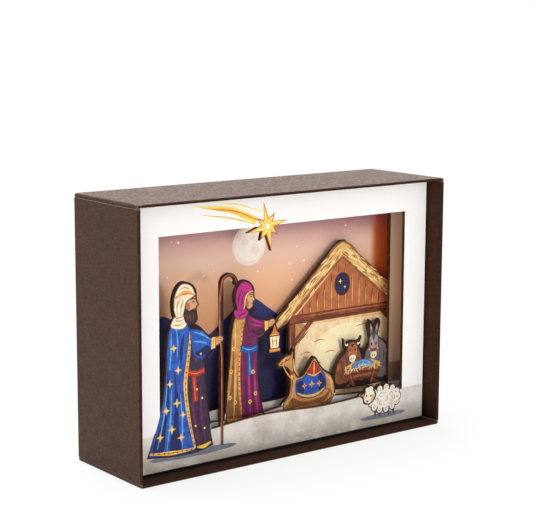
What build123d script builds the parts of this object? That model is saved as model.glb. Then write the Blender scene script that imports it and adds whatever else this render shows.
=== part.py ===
from build123d import *
import os
from math import cos, pi, radians, sin

# Retablo box: a paper-covered board tray, open at the front, that holds four
# laser-cut printed panels one behind the other with spacer strips between them.
# Millimetres. +Z is up, the open front faces -Y, and the origin is at the middle
# of the underside.

# Tray
box_width = 200.0
box_height = 140.0
box_depth = 60.0
board = 1.2  # greyboard of the walls and back
paper = 0.15  # linen-textured covering paper
bend_radius = 0.4  # inside radius where the paper turns over a board's edge
end_flat = 0.15  # left square below the rolled ends of the top and bottom boards
side_sheet_inset = 2.2  # cut edge of a side sheet to the box's top and bottom
flap_length = 12.0  # corner tabs and back flaps, under the sheets that cover them
back_sheet_inset = 2.5
back_sheet_corner = 1.5

# Panels
front_recess = 11.0  # rim to the front of the mat
panel = 2.0  # thickness of every cut panel
stack_gap = 1.5  # open gap between the boards and the stack of panels and spacers
mat_side = 15.7  # width of the mat beside its window
mat_top = 15.35  # and above it
ground_height = 20.0  # underside of the box to the window's lower edge
front_gap = 9.5  # mat to middle panel
stable_gap = 3.5  # stable panel to backdrop
spacer_width = 7.0
pad_thickness = 2.5  # foam pads behind the manger group
pad_size = 6.0
group_clearance = 0.5  # manger group to the middle panel

# Places of the figures, from the edges of the window
shepherd_from_left = 16.5
shepherd_foot = 10.0
lantern_bearer_from_left = 61.5
camel_from_left = 103.0
back_foot = 16.5  # feet of the figures on the middle panel
sheep_from_right = 15.0
sheep_foot = 8.5
star_from_left = 67.0
star_below_window = 0.3
stable_from_right = 29.0
stable_foot = 23.0
manger_from_right = 17.5
manger_foot = 24.0

# Drawings of the figures
figure_grid = 1.0  # one step of the drawn outlines
staff_width = 1.9
staff_height = 84.0
staff_reach = 21.6  # from the shepherd's middle
crook_radius = 4.6
fleece_length = 10.0
fleece_height = 6.2
fleece_curl = 2.6
fleece_x = 2.0
fleece_z = 9.0
star_reach = 13.4
star_short_reach = 8.6
star_waist = 4.3
star_tilt = 11.0
star_points = 8
wool_curls = 13

# Depths, from the front of the box to its back
front = -box_depth / 2
back = box_depth / 2
side_rim = board + 3 * paper  # side wall with the corner tab under its sheet
rim = board + 2 * paper
flap_top = -bend_radius - paper  # below the bend, from the wall's outer face
end_radius = board - end_flat + paper  # outside radius where the top and bottom sheets turn down the sides
board_front = front + paper
board_back = back - 2 * paper
back_board_front = board_back - board
mat_front = front + front_recess
mat_back = mat_front + panel
group_room = panel + pad_thickness + group_clearance  # middle panel to stable panel
panel_fronts = [mat_front]
for gap in (front_gap, group_room, stable_gap):
    panel_fronts.append(panel_fronts[-1] + panel + gap)

# Inside faces of the boards, and the edges of the stack of panels and spacers
half_width = box_width / 2
board_x = half_width - 2 * paper - board
board_low = paper + board
board_high = box_height - board_low
stack_x = board_x - stack_gap
stack_low = board_low + stack_gap
stack_high = board_high - stack_gap

# Window of the two framed panels
window_x = stack_x - mat_side
window_high = stack_high - mat_top


def slab(x0, x1, y0, y1, z0, z1):
    middle = ((x0 + x1) / 2, (y0 + y1) / 2, (z0 + z1) / 2)
    return Pos(*middle) * Box(x1 - x0, y1 - y0, z1 - z0)


# A wall's own frame has its outer face at z = 0 and its length along x.

def bent_edges(block):
    """The long edges that paper is folded over: both at the outer face, and the inner one at the front."""
    long_edges = block.edges().filter_by(Axis.X)
    return long_edges.group_by(Axis.Z)[-1] + long_edges.group_by(Axis.Z)[0].sort_by(Axis.Y)[:1]


def wall_block(half_length, inset, depth, closed_ends):
    """Outside of one wall's sheet, or its inside where the inset is the paper's thickness."""
    block = slab(-half_length, half_length, front + inset, back - paper - inset, -depth + inset, -inset)
    rounded = bent_edges(block)
    if closed_ends:
        block = fillet(block.edges().filter_by(Axis.Y).group_by(Axis.Z)[-1], end_radius - inset)
        front_face, *_, back_face = block.faces().sort_by(Axis.Y)
        rounded = front_face.edges() + back_face.edges().sort_by(Axis.Z)[1:]
    return fillet(rounded, bend_radius + paper - inset)


def folded_sheet(half_length, depth, turned_half_length, flap_half_length, closed_ends):
    """Paper over one wall: outside, front rim, the strip turned in, and the flap on the back."""
    inner_half = half_length - paper if closed_ends else half_length
    sheet = wall_block(half_length, 0, depth, closed_ends) - wall_block(inner_half, paper, depth, closed_ends)
    under = depth - paper
    sheet -= slab(-half_length, half_length, mat_back, back, -depth, -under)
    for end in (-1, 1):
        x0, x1 = sorted((end * turned_half_length, end * half_length))
        if x1 - x0 > paper:
            sheet -= slab(x0, x1, front, back, -depth, -under)
    flap_back = back - paper
    sheet += slab(-flap_half_length, flap_half_length, flap_back - paper, flap_back, -flap_length, flap_top)
    return sheet


def long_sheet():
    """Top or bottom sheet, with the tabs that turn round the corners and lie under the side sheets."""
    half_length = half_width - paper
    sheet = folded_sheet(half_length, rim, board_x, board_x - 2 * paper, True)
    corner = bend_radius + 2 * paper
    for end in (-1, 1):
        x0, x1 = sorted((end * half_length, end * (half_length - paper)))
        sheet += slab(x0, x1, front + corner, back - paper - corner, -flap_length, -end_radius)
    return sheet


def side_sheet():
    """Left or right sheet, cut short of the top and bottom so that it covers the tabs."""
    half_length = box_height / 2 - side_sheet_inset
    return folded_sheet(half_length, side_rim, half_length, box_height / 2 - flap_length - paper, False)


def side_board():
    half_length = box_height / 2 - board_low
    block = slab(-half_length, half_length, board_front, board_back, -board, 0)
    return fillet(bent_edges(block), bend_radius)


def tray():
    at_top = Pos(0, 0, box_height)
    at_bottom = Rot(0, 180, 0)
    half_height = box_height / 2
    at_left = Pos(-half_width, 0, half_height) * Rot(0, -90, 0)
    at_right = Pos(half_width, 0, half_height) * Rot(0, 90, 0)
    long_board = wall_block(half_width - 2 * paper, paper, rim, True)
    under_side_sheet = Pos(0, 0, -2 * paper)
    back_sheet = Rectangle(box_width - 2 * back_sheet_inset, box_height - 2 * back_sheet_inset)
    back_sheet = Pos(0, half_height) * fillet(back_sheet.vertices(), back_sheet_corner)
    return {
        "top_board": at_top * long_board,
        "bottom_board": at_bottom * long_board,
        "left_board": at_left * under_side_sheet * side_board(),
        "right_board": at_right * under_side_sheet * side_board(),
        "back_board": slab(-board_x, board_x, back_board_front, board_back, board_low, board_high),
        "top_wrap": at_top * long_sheet(),
        "bottom_wrap": at_bottom * long_sheet(),
        "left_wrap": at_left * side_sheet(),
        "right_wrap": at_right * side_sheet(),
        "back_wrap": extrude(Plane.XZ.offset(-back) * back_sheet, paper),
    }


def spacers():
    """A ring of four strips behind each panel, glued to it. The last ring is glued to the back board."""
    strips = {}
    ring_backs = panel_fronts[1:] + [back_board_front]
    low = stack_low + spacer_width
    high = stack_high - spacer_width
    inner = stack_x - spacer_width
    for ring, y1 in enumerate(ring_backs):
        y0 = panel_fronts[ring] + panel
        name = f"spacer_{ring + 1}"
        strips[f"{name}_bottom"] = slab(-stack_x, stack_x, y0, y1, stack_low, low)
        strips[f"{name}_top"] = slab(-stack_x, stack_x, y0, y1, high, stack_high)
        strips[f"{name}_left"] = slab(-stack_x, -inner, y0, y1, low, high)
        strips[f"{name}_right"] = slab(inner, stack_x, y0, y1, low, high)
    return strips


# Flat outlines are drawn in x and z, and a panel is cut from them.

def cut_out(*strokes):
    """A face inside closed strokes. Each is smooth through its points, from the last one's end to a corner."""
    edges = []
    for before, stroke in zip(strokes[-1:] + strokes[:-1], strokes):
        points = [before[-1], *stroke]
        edges.append(Line(*points) if len(points) == 2 else Spline(*points))
    return make_face(edges)


def drawn(*strokes):
    """A figure's outline, from strokes in steps of the drawing grid."""
    return cut_out(*[[(figure_grid * u, figure_grid * v) for u, v in stroke] for stroke in strokes])


def sheet_of(face, ring):
    """The flat outline as a panel of the stack, counted from the mat."""
    return extrude(Plane.XZ.offset(-(panel_fronts[ring] + panel)) * face, panel)


def wavy_line(half_length, rises):
    step = 2 * half_length / (len(rises) - 1)
    return [(-half_length + k * step, ground_height + figure_grid * rise) for k, rise in enumerate(rises)]


def window(lip):
    """Straight on three sides. The lip gives the wavy lower edge, as rises evenly spread along it."""
    waves = wavy_line(window_x, lip)
    return cut_out(
        waves[1:],
        [(window_x, window_high)],
        [(-window_x, window_high)],
        [waves[0]],
    )


def shepherd():
    """Standing figure in a long cloak, turned to the right, with a crook."""
    figure = drawn(
        [(-21, 10), (-16, 26), (-13.5, 42), (-12.5, 56), (-11, 65), (-7.5, 70)],
        [(-8.7, 75), (-8, 82), (-3, 88), (3, 86.6), (6.2, 81)],
        [(6.4, 78), (7.8, 75.4)],
        [(6.2, 74), (6.6, 70), (4.8, 66)],
        [(9, 63.4), (15, 58.6), (20.5, 59), (23.2, 56.5), (21, 53.2)],
        [(15, 50), (11.5, 46)],
        [(12, 36), (13.5, 20), (16.5, 1)],
        [(8, -1), (-6, -1.4), (-25, 0.5)],
    )
    half_staff = staff_width / 2
    staff = Pos(staff_reach, staff_height / 2) * Rectangle(staff_width, staff_height)
    crook = Circle(crook_radius + half_staff) - Circle(crook_radius - half_staff)
    crook -= Pos(0, -crook_radius) * Rectangle(4 * crook_radius, 2 * crook_radius)
    crook += Pos(crook_radius, 0) * Circle(1.5 * half_staff)
    return figure + staff + Pos(staff_reach + crook_radius, staff_height) * crook


def star():
    """Eight points, long and short by turns."""
    points = []
    for k in range(star_points):
        reach = star_reach if k % 2 == 0 else star_short_reach
        tip = radians(star_tilt) + 2 * pi * k / star_points
        waist = tip + pi / star_points
        points.append((reach * cos(tip), reach * sin(tip)))
        points.append((star_waist * cos(waist), star_waist * sin(waist)))
    return make_face(Polyline(*points, close=True))


def sheep():
    """Lying sheep: a curly fleece, with the head at its left end."""
    fleece = Ellipse(fleece_length, fleece_height)
    for k in range(wool_curls):
        turn = 2 * pi * k / wool_curls
        fleece += Pos(fleece_length * cos(turn), fleece_height * sin(turn)) * Circle(fleece_curl)
    head = drawn(
        [(-10, 17.5), (-6, 16.8)],
        [(-4, 12), (-6, 8.5), (-9.5, 6.8)],
        [(-13.5, 8), (-14.4, 11)],
        [(-16.6, 13.2), (-13, 14.6)],
    )
    return Pos(fleece_x, fleece_z) * fleece + head


def lantern_bearer():
    """Standing figure in a hooded robe, holding a lantern out to the right."""
    figure = drawn(
        [(-12.4, 18), (-10.4, 36), (-9.4, 48), (-7.8, 56), (-5.6, 60)],
        [(-7.2, 65), (-6.6, 71), (-1.5, 76), (3.6, 74), (6, 69.5)],
        [(5.8, 66.8), (7.1, 64.5)],
        [(5.4, 63), (5.8, 60), (4, 57)],
        [(8, 54.9), (14, 52.9), (18.5, 53.9), (20.6, 51.6), (18.5, 48.8)],
        [(13, 46.4), (8.8, 43)],
        [(8.6, 30), (10, 14), (13, 0)],
        [(0, -1), (-13.5, 0)],
    )
    lantern = drawn(
        [(21.2, 46.6)],
        [(23.4, 43.6)],
        [(22.6, 36.4)],
        [(23.4, 34.4)],
        [(15.4, 34.4)],
        [(16.2, 36.4)],
        [(15.4, 43.6)],
        [(17.6, 46.6)],
        [(18.4, 50)],
        [(20.4, 50)],
    )
    return figure + lantern


def camel():
    """Resting camel, turned to the left."""
    return drawn(
        [(-19.7, 25.3), (-15.3, 24.9), (-12.4, 22.5), (-11.9, 17), (-12.8, 9.4), (-17.4, 3.8), (-15.7, 0)],
        [(-6.8, -0.4), (6.8, -0.5), (17, 0)],
        [(20.1, 4.3), (20.2, 11), (17.4, 17), (12.8, 20.1), (9.4, 23.5), (5.1, 28.6), (0.7, 23.5), (-3, 19.6),
         (-5.6, 19.2), (-8, 22.1), (-8.8, 27.2), (-9, 31)],
        [(-8.5, 32.8), (-9.4, 34.9)],
        [(-10.7, 33.5), (-11.4, 32.1)],
        [(-14.5, 32), (-18.2, 29.8), (-20.4, 27.2)],
    )


def stable():
    """Gabled shelter with a thatched roof. Its left eave overhangs the post."""
    eave, peak, reach = 41.0, 83.0, 48.0
    return drawn(
        [(-38, eave)],
        [(-46, 37), (-48.6, 41.4)],
        [(-33, 55.8), (-15.5, 71.6), (-1.6, peak)],
        [(1.6, peak)],
        [(15.5, 71.4), (32, 58), (reach, 46)],
        [(reach, 0)],
        [(-38, 0)],
    )


def manger_group():
    """Ox and donkey behind a manger of hay, cut as one piece."""
    return drawn(
        [(-21, 7.7), (-17.7, 16), (-12.4, 20.1)],
        [(-13.2, 23.2), (-13.9, 27.5)],
        [(-10.8, 25.1), (-7.2, 25.8), (-3.8, 25.1), (-0.7, 27.5)],
        [(-1.4, 23.2), (-2.1, 20.6)],
        [(1.4, 20.1), (4.6, 21)],
        [(5.2, 25.8), (4, 31), (4.8, 36.1)],
        [(7.2, 33.5), (8.3, 29.8)],
        [(9.3, 33.5), (11.7, 36.1)],
        [(12.6, 31), (11.4, 26.3), (15.1, 23.6), (19.4, 18.9), (21, 10.3), (19.6, -0.9)],
        [(6.9, -1.4), (-6.9, -1.4), (-20.3, -0.9)],
    )


def panels():
    full_face = Pos(0, (stack_low + stack_high) / 2) * Rectangle(2 * stack_x, stack_high - stack_low)
    mat = full_face - window([-0.5, -0.8, 0.6, 1.9, 1.5, 0.4, 0.8, 1.8, 1.2])
    mat += Pos(-window_x + shepherd_from_left, shepherd_foot) * shepherd()
    mat += Pos(-window_x + star_from_left, window_high - star_below_window) * star()
    mat += Pos(window_x - sheep_from_right, sheep_foot) * sheep()

    middle = full_face - window([0.2, 0.8, -0.6, -1.4, 0.2, 1.6, 1.0, -0.2, 0.6])
    middle += Pos(-window_x + lantern_bearer_from_left, back_foot) * lantern_bearer()
    middle += Pos(-window_x + camel_from_left, back_foot) * camel()

    rises = [1.5, 0.4, 2.0, 3.4, 2.2, 3.6, 4.6, 4.0, 5.0]
    ground_line = wavy_line(stack_x, rises)
    ground = cut_out(ground_line[1:], [(stack_x, stack_low)], [(-stack_x, stack_low)], [ground_line[0]])
    stable_x = window_x - stable_from_right
    stable_face = ground + Pos(stable_x, stable_foot) * stable()
    beside_stack = Pos(stack_x + box_width / 2, box_height / 2) * Rectangle(box_width, box_height)
    stable_face -= beside_stack

    manger_x = window_x - manger_from_right
    stable_front = panel_fronts[2]
    group_back = stable_front - pad_thickness
    at_manger = Pos(manger_x, manger_foot)
    group = at_manger * manger_group()
    pad_plane = Plane.XZ.offset(-stable_front)
    pads = [(-14, 3.5), (14, 3.5), (-13, 12), (14, 12.5), (0, 9)]
    pad_faces = [Pos(figure_grid * u, figure_grid * v) * Rectangle(pad_size, pad_size) for u, v in pads]
    return {
        "front_mat": sheet_of(mat, 0),
        "middle_panel": sheet_of(middle, 1),
        "stable_panel": sheet_of(stable_face, 2),
        "backdrop": sheet_of(full_face, 3),
        "manger_group": extrude(Plane.XZ.offset(-group_back) * group, panel),
        "manger_pads": Compound([extrude(pad_plane * at_manger * face, pad_thickness) for face in pad_faces]),
    }


os.makedirs("parts", exist_ok=True)
for node, shape in {**tray(), **spacers(), **panels()}.items():
    export_step(shape, f"parts/{node}.step")
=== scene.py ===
import math
import random

import bmesh
import bpy
from mathutils import Matrix, Vector


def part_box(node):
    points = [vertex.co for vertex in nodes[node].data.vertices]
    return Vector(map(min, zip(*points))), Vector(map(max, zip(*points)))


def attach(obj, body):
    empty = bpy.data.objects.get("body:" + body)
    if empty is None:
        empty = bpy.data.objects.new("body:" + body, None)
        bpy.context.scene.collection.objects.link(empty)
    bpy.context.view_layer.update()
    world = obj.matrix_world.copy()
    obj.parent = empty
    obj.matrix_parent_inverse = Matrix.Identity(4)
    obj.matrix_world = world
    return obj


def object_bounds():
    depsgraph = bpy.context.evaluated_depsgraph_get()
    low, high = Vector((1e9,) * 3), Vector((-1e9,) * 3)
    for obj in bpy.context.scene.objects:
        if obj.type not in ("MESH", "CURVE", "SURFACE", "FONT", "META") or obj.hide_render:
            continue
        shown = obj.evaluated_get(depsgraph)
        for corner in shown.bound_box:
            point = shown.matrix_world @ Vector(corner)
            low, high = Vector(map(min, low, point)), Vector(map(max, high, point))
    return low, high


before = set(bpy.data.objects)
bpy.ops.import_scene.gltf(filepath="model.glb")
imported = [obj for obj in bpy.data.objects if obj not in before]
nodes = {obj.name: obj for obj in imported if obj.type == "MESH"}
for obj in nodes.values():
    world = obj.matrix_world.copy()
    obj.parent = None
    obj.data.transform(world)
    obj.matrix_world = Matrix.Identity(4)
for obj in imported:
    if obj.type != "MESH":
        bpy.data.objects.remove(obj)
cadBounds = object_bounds()
mm = 0.001
chance = random.Random(7)

matLow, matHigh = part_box("front_mat")
boxLow, boxHigh = cadBounds
boxMiddle = (boxLow + boxHigh) / 2
frontY = matLow.y
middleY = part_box("middle_panel")[0].y
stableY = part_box("stable_panel")[0].y
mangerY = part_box("manger_group")[0].y
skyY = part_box("backdrop")[0].y

# window of the mat, measured in from the mat's own edges
windowX = matHigh.x - 15.7 * mm
windowTop = matHigh.z - 15.35 * mm
windowLip = 20 * mm


# where a figure stands, in millimetres from the window's left or right edge
def fromLeft(across):
    return across - windowX / mm


def fromRight(across):
    return windowX / mm - across


def srgb(red, green, blue):
    def linear(value):
        value /= 255
        return value / 12.92 if value <= 0.04045 else ((value + 0.055) / 1.055) ** 2.4
    return (linear(red), linear(green), linear(blue), 1)


# materials

bench = dict(tree=None, place=None)  # the nodes being made, and the coordinates they read


# an input takes a link or a plain value
def feed(socket, value):
    if isinstance(value, bpy.types.NodeSocket):
        bench["tree"].links.new(value, socket)
    else:
        socket.default_value = value


def addNode(kind, inputs=None, **settings):
    made = bench["tree"].nodes.new("ShaderNode" + kind)
    for key, value in settings.items():
        setattr(made, key, value)
    for key, value in (inputs or {}).items():
        feed(made.inputs[key], value)
    return made


def startMaterial(name, roughness, specular):
    material = bpy.data.materials.new(name)
    material.use_nodes = True
    bench["tree"] = material.node_tree
    bench["place"] = addNode("TexCoord").outputs["Object"]
    shader = bench["tree"].nodes["Principled BSDF"]
    feed(shader.inputs["Roughness"], roughness)
    feed(shader.inputs["Specular IOR Level"], specular)
    return material, shader


def finishMaterial(shader, colour, height, distance):
    feed(shader.inputs["Base Color"], colour)
    bump = addNode("Bump", {"Height": height, "Distance": distance, "Strength": 1})
    feed(shader.inputs["Normal"], bump.outputs[0])


def maths(operation, *values, clamp=False):
    return addNode("Math", dict(enumerate(values)), operation=operation, use_clamp=clamp).outputs[0]


def chain(operation, total, *others):
    for other in others:
        total = maths(operation, total, other)
    return total


def rest(value):
    return maths("SUBTRACT", 1, value)


def mix(factor, first, second):
    return addNode("Mix", {0: factor, 6: first, 7: second}, data_type="RGBA").outputs[2]


# a share of the factor towards another colour
def tint(factor, share, colour, towards):
    return mix(maths("MULTIPLY", factor, share), colour, towards)


def split(vector):
    return addNode("SeparateXYZ", {"Vector": vector}).outputs


def noise(scale, detail=3, roughness=0.55, stretch=None):
    place = bench["place"]
    if stretch:
        place = addNode("Mapping", {"Vector": place, "Scale": stretch}).outputs[0]
    look = {"Vector": place, "Scale": scale, "Detail": detail, "Roughness": roughness}
    return addNode("TexNoise", look).outputs["Fac"]


# from 0 at the first value to 1 at the second, which may be the lesser
def ramp(factor, none, full):
    return addNode("MapRange", {"Value": factor, "From Min": none, "From Max": full}).outputs[0]


# blotches, none below the first level of the noise and full above the second
def mottle(none, full, *look):
    return ramp(noise(*look), none, full)


# pairs of sizes say where a change begins and where it is full
linen = dict(
    base=srgb(70, 42, 31),
    slub=srgb(96, 64, 50),
    valley=srgb(46, 25, 16),
    # painted shade for the turned-in paper beside the mat's foot and in the right corner
    shadeDeep=srgb(18, 9, 6),
    # worn folds, and the painted highlight along the fold it stands on
    wornAndLitTone=srgb(158, 130, 108),
    # a faint painted sheen on the outside
    outsideSheen=srgb(150, 138, 128),
    cutEdge=srgb(206, 188, 172),
    threadsPerMetre=962.5,
    emboss=0.05 * mm,
    outside=0.6 * mm,  # paper this near to the box's faces is on its outside
    rim=0.5 * mm,  # and this near to its front on the rim
    seam=2.2 * mm,  # a side sheet's cut edges lie this far from the box's top and bottom
    seamWidth=0.2 * mm,
    seamDepth=0.4 * mm,
    footShade=(20 * mm, 1.5 * mm),  # heights over which painted shade on the turned-in paper deepens
    matShade=5 * mm,  # how far out from the mat the painted shade reaches
    cornerShade=14 * mm,  # and how far in from the right wall
    rub=(0.8 * mm, 0.1 * mm),  # from a fold
    floorBounceHeight=(0.7 * mm, 0.1 * mm),  # height of the painted highlight along the fold it stands on
    chip=(2.6 * mm, 0.8 * mm),  # from a corner
    smooth=0.37,  # roughness on the raised threads
    matt=0.9,  # and between them
)
waveRadians = 20  # per metre, in a wave texture of scale 1


def linenPaper():
    material, shader = startMaterial("linenPaper", linen["matt"], 0.13)
    # threads along all three axes: on any flat side two of them show and the third is constant
    threads = []
    for axis in "XYZ":
        look = {"Vector": bench["place"], "Scale": linen["threadsPerMetre"] * 2 * math.pi / waveRadians,
                "Distortion": 1.6, "Detail": 2, "Detail Scale": 1.4}
        threads.append(addNode("TexWave", look, bands_direction=axis).outputs["Fac"])
    weave = maths("MULTIPLY", chain("ADD", *threads), 1 / 3)
    stretches = ((140, 1500, 1500), (1500, 140, 1500), (1500, 1500, 140))
    slubs = chain("ADD", *[noise(1, 2, 0.5, stretch) for stretch in stretches])
    slubs = ramp(slubs, 1.15, 1.95)
    cloudy = mottle(0.3, 0.7, 60, 4)
    colour = mix(ramp(weave, 0.25, 0.75), linen["valley"], linen["base"])
    colour = tint(slubs, 0.75, colour, linen["slub"])
    colour = tint(cloudy, 0.22, colour, linen["valley"])
    axes = split(bench["place"])
    inset = []
    for axis, low, high in zip("XYZ", boxLow, boxHigh):
        off = maths("ABSOLUTE", maths("SUBTRACT", axes[axis], (low + high) / 2))
        inset.append(maths("SUBTRACT", (high - low) / 2, off))
    # the distance to the nearest outer edge is the second smallest of the three
    lesser = maths("MINIMUM", inset[0], inset[1])
    greater = maths("MAXIMUM", inset[0], inset[1])
    toEdge = maths("MAXIMUM", lesser, maths("MINIMUM", greater, inset[2]))
    toCorner = maths("MAXIMUM", greater, inset[2])
    # the outside carries a faint painted sheen; the rim's front and what is turned in carry painted shade,
    # most of all beside the mat's foot and in the right corner
    outside = maths("LESS_THAN", maths("MINIMUM", lesser, inset[2]), linen["outside"])
    rimFront = maths("LESS_THAN", axes["Y"], boxLow.y + linen["rim"])
    outside = maths("MULTIPLY", outside, rest(rimFront))
    inward = rest(outside)
    besideMat = ramp(axes["Y"], frontY - linen["matShade"], frontY)
    inCorner = ramp(axes["X"], boxHigh.x - linen["cornerShade"], boxHigh.x)
    depth = maths("MULTIPLY_ADD", besideMat, 0.7, maths("MULTIPLY_ADD", inCorner, 0.5, 0.25))
    footShade = maths("MULTIPLY", ramp(axes["Z"], *linen["footShade"]), depth, clamp=True)
    footShade = maths("MULTIPLY", footShade, maths("SUBTRACT", inward, rimFront))
    shadedShare = maths("MULTIPLY_ADD", inward, 0.2, maths("MULTIPLY", rimFront, 0.4))
    # painted sheen on the outside
    colour = tint(outside, 0.06, colour, linen["outsideSheen"])
    # painted shade on the rim's front and on what is turned in, darkest beside the mat's foot
    colour = mix(shadedShare, colour, linen["valley"])
    colour = mix(footShade, colour, linen["shadeDeep"])
    # folds show wear in places; the fold that it stands on carries a painted highlight all along
    patches = mottle(0.5, 0.8, 170, 6, 0.7)
    wornAndLit = maths("MULTIPLY", ramp(toEdge, *linen["rub"]), patches)
    floorBounceLine = ramp(axes["Z"], *linen["floorBounceHeight"])
    wornAndLit = maths("MULTIPLY_ADD", floorBounceLine, rimFront, wornAndLit)
    colour = tint(wornAndLit, 0.3, colour, linen["wornAndLitTone"])
    # small chips where three edges meet
    chips = mottle(0.5, 0.62, 700, 3, 0.6)
    chips = maths("MULTIPLY", ramp(toCorner, *linen["chip"]), chips)
    colour = tint(chips, 0.7, colour, linen["cutEdge"])
    # the side sheets' cut edges make a thin light line: their lighter paper core, with a painted highlight
    # where the edge catches the light
    toSeam = maths("ABSOLUTE", maths("SUBTRACT", inset[2], linen["seam"]))
    seamPaleAndLit = chain("MULTIPLY", maths("LESS_THAN", toSeam, linen["seamWidth"] / 2),
                   maths("LESS_THAN", inset[0], linen["seamDepth"]),
                   mottle(0.2, 0.6, 90, 4, 0.6))
    colour = tint(seamPaleAndLit, 0.5, colour, linen["cutEdge"])
    flecks = mottle(0.36, 0.64, 620, 3, 0.7)
    raised = maths("ADD", slubs, flecks)
    sheen = maths("MULTIPLY", raised, 0.5)
    gloss = addNode("MapRange", {"Value": sheen, "To Min": linen["matt"], "To Max": linen["smooth"]})
    gloss = maths("MAXIMUM", gloss.outputs[0], inward)
    feed(shader.inputs["Roughness"], gloss)
    finishMaterial(shader, colour, maths("ADD", weave, raised), linen["emboss"])
    return material


scorched = dict(
    burnt=srgb(104, 66, 40),
    burntDeep=srgb(60, 34, 21),
)


# laser-cut edges, which look neither forwards nor back, browned by the heat
def scorchEdges(colour):
    normal = addNode("NewGeometry").outputs["Normal"]
    facing = maths("ABSOLUTE", split(normal)["Y"])
    patchy = mottle(0.3, 0.7, 420, 4, 0.6)
    brown = mix(patchy, scorched["burnt"], scorched["burntDeep"])
    return mix(maths("LESS_THAN", facing, 0.5), colour, brown)


def plainCard(name, base, fleck, roughness=0.85, fibres=900, cut=False):
    material, shader = startMaterial(name, roughness, 0.2)
    fine = mottle(0.35, 0.7, fibres, 4, 0.65)
    long = mottle(0.42, 0.62, 1, 3, 0.6, (300, 2400, 2400))
    colour = tint(fine, 0.6, base, fleck)
    colour = tint(long, 0.25, colour, fleck)
    if cut:
        colour = scorchEdges(colour)
    finishMaterial(shader, colour, fine, 0.03 * mm)
    return material


def setMaterial(material, *names):
    for name in names:
        mesh = nodes[name].data
        mesh.materials.clear()
        mesh.materials.append(material)


panelCard = dict(
    white=srgb(247, 244, 241),
    stoneTop=srgb(226, 218, 209),
    stoneFoot=srgb(168, 158, 147),
    stoneDeep=srgb(146, 135, 124),
    stoneLight=srgb(234, 228, 220),
    stoneStain=srgb(170, 154, 146),
    outline=srgb(36, 20, 22),
    frameLitEdge=srgb(255, 210, 172),  # the middle panel's frame carries painted light, palest at its right edge
    frameFade=6 * mm,
    frameShadowRise=40 * mm,  # and is darkest near the ground, a painted shadow
    lip=(22 * mm, 23 * mm),  # its ground carries painted light below this, painted shade above
    stoneRise=(3 * mm, 15 * mm),
    groundEdge=(0.1 * mm, 0.6 * mm),
    groundWander=0.8 * mm,
    slack=0.02 * mm,
    grain=0.02 * mm,
)


# card with a grey stone-wash ground; above cutAbove, inside the window,
# it carries the figures' dark outline colour
def printedPanel(name, card, ground, cutAbove, everywhere=False, shadedEarth=None):
    material, shader = startMaterial(name, 0.7, 0.22)
    axes = split(bench["place"])
    fine = mottle(0.35, 0.7, 900, 3)
    wash = mottle(0.42, 0.72, 95, 9, 0.68)
    pools = mottle(0.53, 0.68, 64, 9, 0.7, (1, 1, 1.5))
    stains = mottle(0.56, 0.7, 78, 8, 0.66, (1, 1, 0.8))
    speckle = mottle(0.58, 0.74, 520, 4, 0.7)
    higher = ramp(axes["Z"], *panelCard["stoneRise"])
    stone = mix(higher, panelCard["stoneFoot"], panelCard["stoneTop"])
    stone = tint(wash, 0.45, stone, panelCard["stoneDeep"])
    stone = tint(pools, 0.65, stone, panelCard["stoneLight"])
    stone = tint(stains, 0.6, stone, panelCard["stoneStain"])
    stone = tint(speckle, 0.25, stone, panelCard["stoneDeep"])
    # painted light and shade on the middle panel: its frame lighter outward and darker near the ground, its
    # ground lighter below the lip and a shaded brown above it
    if shadedEarth:
        outward = ramp(axes["X"], windowX, windowX + panelCard["frameFade"])
        card = mix(outward, card, panelCard["frameLitEdge"])
        upward = ramp(axes["Z"], ground, ground + panelCard["frameShadowRise"])
        card = mix(upward, mix(0.5, card, shadedEarth), card)
        litLip = mix(0.8, stone, panelCard["white"])
        earthInShade = tint(wash, 0.4, shadedEarth, scorched["burnt"])
        stone = mix(ramp(axes["Z"], *panelCard["lip"]), litLip, earthInShade)
    wander = maths("MULTIPLY", noise(90, 4, 0.6), panelCard["groundWander"])
    below = maths("SUBTRACT", maths("ADD", wander, ground), axes["Z"])
    colour = mix(ramp(below, *panelCard["groundEdge"]), card, stone)
    cut = maths("GREATER_THAN", axes["Z"], cutAbove)
    if not everywhere:
        across = maths("LESS_THAN", maths("ABSOLUTE", axes["X"]), windowX - panelCard["slack"])
        under = maths("LESS_THAN", axes["Z"], windowTop - panelCard["slack"])
        cut = chain("MULTIPLY", cut, across, under)
    colour = mix(cut, colour, panelCard["outline"])
    colour = scorchEdges(colour)
    finishMaterial(shader, colour, fine, panelCard["grain"])
    return material


skyWash = dict(
    bands=[(120, (163, 118, 125)), (116, (183, 137, 138)), (110, (222, 173, 159)), (103, (233, 194, 172)),
           (90, (239, 184, 145)), (74, (233, 169, 123)), (58, (223, 152, 100)), (30, (204, 126, 76))],
    drift=5 * mm,  # the bands lie unevenly
    cloud=srgb(250, 216, 194),
    # painted shade: the strip behind the window's right edge, and the upper right corner
    shadeDeep=srgb(228, 104, 42),
    shadeDeepTop=srgb(196, 92, 96),
    shadeStripWidth=4.5 * mm,
    cornerShadowTone=srgb(128, 66, 66),
    cornerShadowFrom=40 * mm,
    upperShadeRise=(106 * mm, 120 * mm),
    grain=0.02 * mm,
)


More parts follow.
